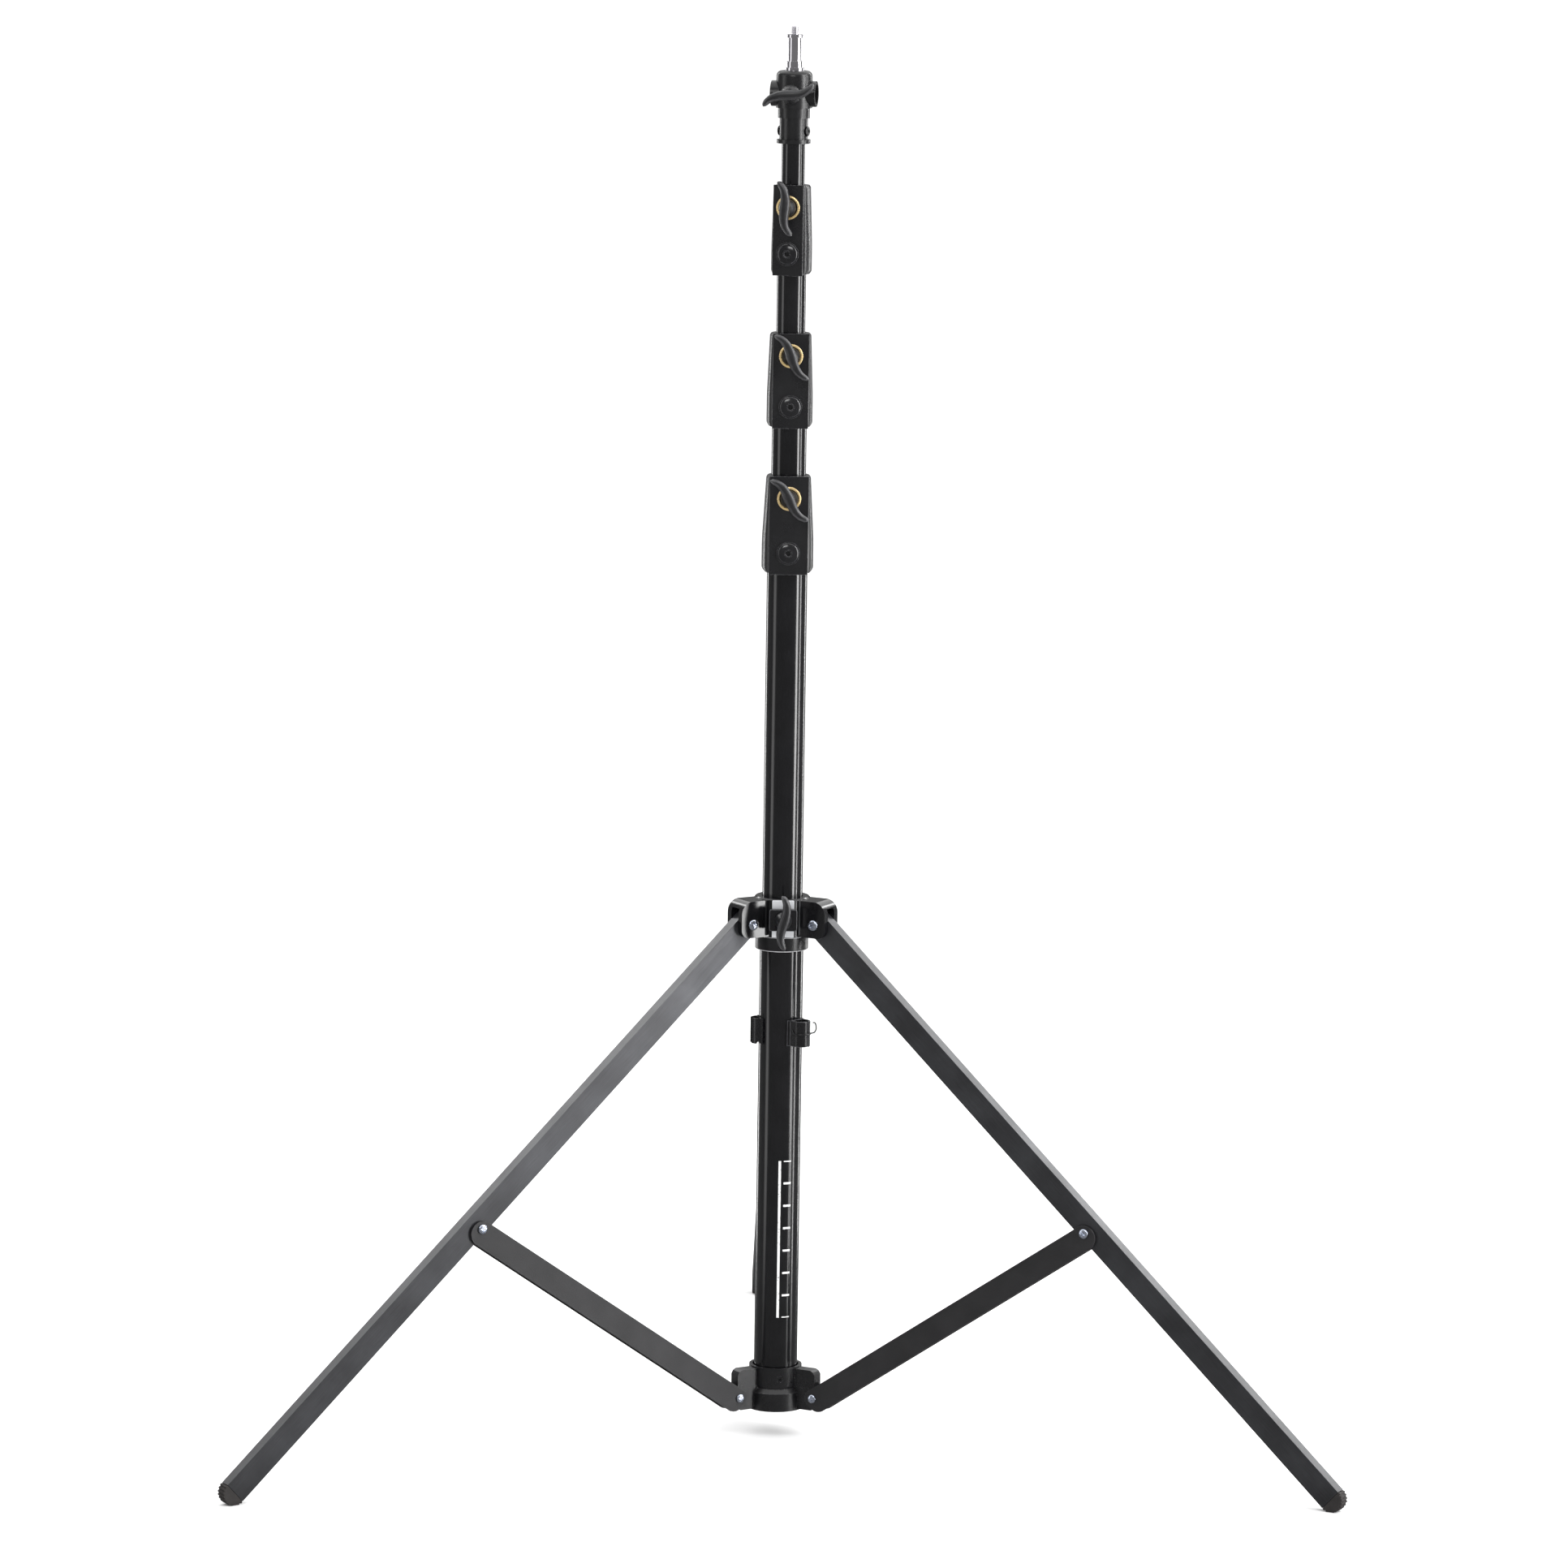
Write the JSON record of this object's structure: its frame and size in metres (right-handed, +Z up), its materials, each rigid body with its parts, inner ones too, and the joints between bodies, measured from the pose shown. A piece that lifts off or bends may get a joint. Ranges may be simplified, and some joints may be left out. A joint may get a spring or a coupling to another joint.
{
  "type": "folding light stand",
  "caption": "Light stand with a telescopic column, cast clamps with wing screws, a spigot head and folding braced legs on a sliding hub.",
  "frame": {"origin": "middle of the footprint of the open stand, on the floor", "axes": "+Z up along the column, -Y towards the side with the wing screws, one leg along +Y"},
  "size_m": [0.9512, 0.8238, 1.2297],
  "materials": {
    "brace_grey": "matte dark grey",
    "brass": "polished",
    "cast_black": "satin black painted casting",
    "chrome": "polished",
    "clip_nylon": "moulded nylon",
    "hub_black": "gloss black",
    "leg_grey": "grey anodised",
    "nylon": "moulded nylon",
    "rubber": "ribbed rubber",
    "screw_black": "black oxide",
    "sleeve_black": "satin black anodised",
    "steel": "brushed",
    "tube_black": "gloss black anodised",
    "wing_grey": "satin dark grey casting",
    "zinc": "zinc plated"
  },
  "bodies": {
    "base": {"sleeve_tube": "sleeve_black", "base_tube": "tube_black", "base_plug": "nylon", "lower_collar": "cast_black", "collar_set_screw": "screw_black", "cable_clip_left": "clip_nylon", "cable_clip_right": "clip_nylon", "clamp_body_1": "cast_black", "clamp_bush_1": "brass", "clamp_bolt_1": "screw_black", "collar_pivot_1": "zinc", "collar_pivot_2": "zinc", "collar_pivot_3": "zinc"},
    "first_clamp_wing": {"clamp_wing_1": "wing_grey"},
    "section_2": {"tube_2": "tube_black", "tube_guide_2": "nylon", "clamp_body_2": "cast_black", "clamp_bush_2": "brass", "clamp_bolt_2": "screw_black"},
    "second_clamp_wing": {"clamp_wing_2": "wing_grey"},
    "section_3": {"tube_3": "tube_black", "tube_guide_3": "nylon", "clamp_body_3": "cast_black", "clamp_bush_3": "brass", "clamp_bolt_3": "screw_black"},
    "third_clamp_wing": {"clamp_wing_3": "wing_grey"},
    "section_4": {"tube_4": "tube_black", "tube_guide_4": "nylon", "head_body": "cast_black", "head_screw_left": "screw_black", "head_screw_right": "screw_black"},
    "head_wing_screw": {"head_wing": "wing_grey"},
    "spigot_post": {"spigot": "chrome"},
    "hub": {"hub_body": "hub_black", "hub_ring": "cast_black", "hub_strip": "steel", "hub_block": "hub_black", "hub_pivot_1": "zinc", "hub_pivot_2": "zinc", "hub_pivot_3": "zinc"},
    "hub_wing_screw": {"hub_wing": "wing_grey"},
    "leg_arm_1": {"leg_1": "leg_grey", "foot_1": "rubber"},
    "brace_arm_1": {"brace_1": "brace_grey", "brace_rivet_1_near": "zinc", "brace_rivet_1_far": "zinc"},
    "leg_arm_2": {"leg_2": "leg_grey", "foot_2": "rubber"},
    "brace_arm_2": {"brace_2": "brace_grey", "brace_rivet_2_near": "zinc", "brace_rivet_2_far": "zinc"},
    "leg_arm_3": {"leg_3": "leg_grey", "foot_3": "rubber"},
    "brace_arm_3": {"brace_3": "brace_grey", "brace_rivet_3_near": "zinc", "brace_rivet_3_far": "zinc"}
  },
  "joints": [
    {"name": "section_2_slide", "type": "slide", "parent": "base", "child": "section_2", "axis": [0, 0, 1], "range_m": [-0.0408, 0.62]},
    {"name": "section_3_slide", "type": "slide", "parent": "section_2", "child": "section_3", "axis": [0, 0, 1], "range_m": [-0.049, 0.6]},
    {"name": "section_4_slide", "type": "slide", "parent": "section_3", "child": "section_4", "axis": [0, 0, 1], "range_m": [-0.0346, 0.58]},
    {"name": "spigot_lift", "type": "slide", "parent": "section_4", "child": "spigot_post", "axis": [0, 0, 1], "range_m": [0, 0.045]},
    {"name": "first_wing_turn", "type": "hinge", "parent": "base", "child": "first_clamp_wing", "pos_m": [0, -0.15674, 0.826], "axis": [0, -1, 0], "range_deg": [0, 270]},
    {"name": "second_wing_turn", "type": "hinge", "parent": "section_2", "child": "second_clamp_wing", "pos_m": [0, -0.15424, 0.9486], "axis": [0, -1, 0], "range_deg": [0, 270]},
    {"name": "third_wing_turn", "type": "hinge", "parent": "section_3", "child": "third_clamp_wing", "pos_m": [-0.00427, -0.15118, 1.0754], "axis": [-0.2588, -0.9659, 0], "range_deg": [0, 270]},
    {"name": "head_wing_turn", "type": "hinge", "parent": "section_4", "child": "head_wing_screw", "pos_m": [-0.00322, -0.15041, 1.1718], "axis": [-0.2079, -0.9781, 0], "range_deg": [0, 270]},
    {"name": "hub_wing_turn", "type": "hinge", "parent": "hub", "child": "hub_wing_screw", "pos_m": [0, -0.16674, 0.4601], "axis": [0, -1, 0], "range_deg": [0, 270]},
    {"name": "hub_slide", "type": "slide", "parent": "base", "child": "hub", "axis": [0, 0, 1], "range_m": [0, 0.2524]},
    {"name": "leg_1_hinge", "type": "hinge", "parent": "hub", "child": "leg_arm_1", "pos_m": [0, -0.09824, 0.4555], "axis": [-1, 0, 0], "range_deg": [0, 46]},
    {"name": "brace_1_hinge", "type": "hinge", "parent": "base", "child": "brace_arm_1", "pos_m": [0, -0.09424, 0.0345], "axis": [1, 0, 0], "range_deg": [0, 54.62]},
    {"name": "leg_2_hinge", "type": "hinge", "parent": "hub", "child": "leg_arm_2", "pos_m": [-0.03204, -0.15374, 0.4555], "axis": [0.5, -0.866, 0], "range_deg": [0, 46]},
    {"name": "brace_2_hinge", "type": "hinge", "parent": "base", "child": "brace_arm_2", "pos_m": [-0.03551, -0.15574, 0.0345], "axis": [-0.5, 0.866, 0], "range_deg": [0, 54.62]},
    {"name": "leg_3_hinge", "type": "hinge", "parent": "hub", "child": "leg_arm_3", "pos_m": [0.03204, -0.15374, 0.4555], "axis": [0.5, 0.866, 0], "range_deg": [0, 46]},
    {"name": "brace_3_hinge", "type": "hinge", "parent": "base", "child": "brace_arm_3", "pos_m": [0.03551, -0.15574, 0.0345], "axis": [-0.5, -0.866, 0], "range_deg": [0, 54.62]}
  ],
  "couplings": [
    {"joint": "leg_1_hinge", "follows": "hub_slide", "rad_per_m": 3.1601},
    {"joint": "brace_1_hinge", "follows": "hub_slide", "rad_per_m": 3.7564},
    {"joint": "leg_2_hinge", "follows": "hub_slide", "rad_per_m": 3.1601},
    {"joint": "brace_2_hinge", "follows": "hub_slide", "rad_per_m": 3.7564},
    {"joint": "leg_3_hinge", "follows": "hub_slide", "rad_per_m": 3.1601},
    {"joint": "brace_3_hinge", "follows": "hub_slide", "rad_per_m": 3.7564}
  ]
}
